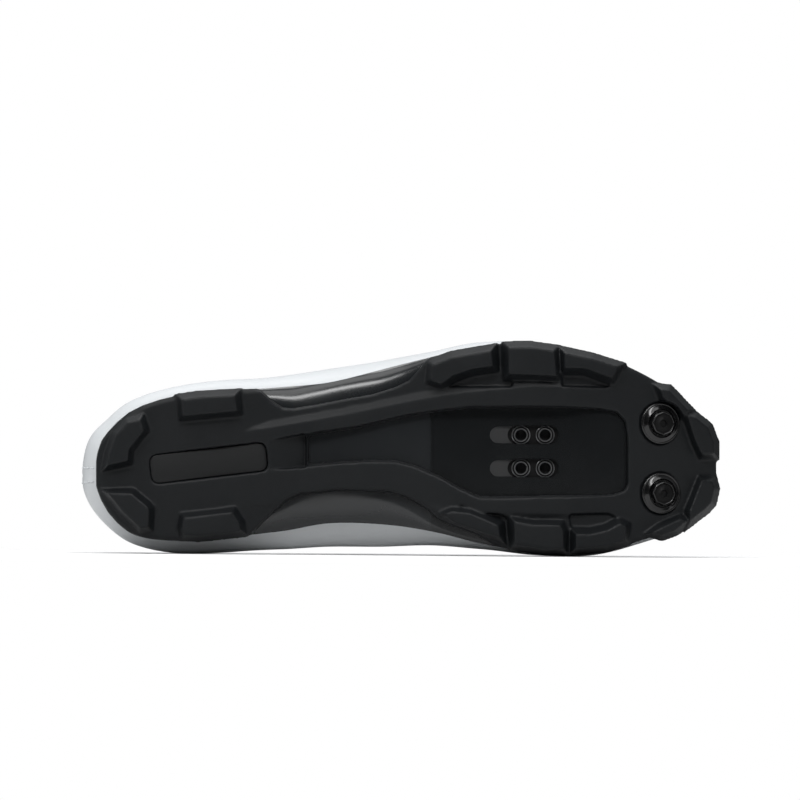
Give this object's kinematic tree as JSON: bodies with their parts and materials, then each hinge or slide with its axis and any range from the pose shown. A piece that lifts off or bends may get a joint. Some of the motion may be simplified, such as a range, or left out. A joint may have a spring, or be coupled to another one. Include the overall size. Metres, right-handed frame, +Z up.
{
  "type": "cycling shoe",
  "caption": "Right off-road cycling shoe lying on its inner side: smooth hollow upper, nylon base plate with slotted cleat pocket, rubber tread blocks and round toe studs.",
  "frame": {"origin": "on the floor, under the middle of the shoe's box", "axes": "+X from heel to toe, -Y out of the tread, +Z up, from the inner to the outer side of the foot"},
  "size_m": [0.2712, 0.1034, 0.091],
  "materials": {
    "rubber": "matt black moulded rubber",
    "nylon": "satin to glossy black nylon",
    "inlay_rubber": "smooth black rubber",
    "nut_steel": "dark plated steel",
    "insole_foam": "dark knitted cover on foam",
    "upper_sheet": "smooth pale grey synthetic leather",
    "tongue_fabric": "pale grey knit over foam",
    "stud_plastic": "glossy black",
    "lace_cord": "pale grey woven flat lace"
  },
  "bodies": {
    "root": {"outsole": "rubber", "base_plate": "nylon", "heel_inlay": "inlay_rubber", "cleat_nut_plate": "nut_steel", "insole": "insole_foam", "upper": "upper_sheet", "tongue": "tongue_fabric", "toe_stud_outer": "stud_plastic", "toe_stud_inner": "stud_plastic", "lace_bar_1": "lace_cord", "lace_bar_2": "lace_cord", "lace_bar_3": "lace_cord", "lace_bar_4": "lace_cord", "lace_bar_5": "lace_cord", "lace_bar_6": "lace_cord"}
  },
  "joints": []
}
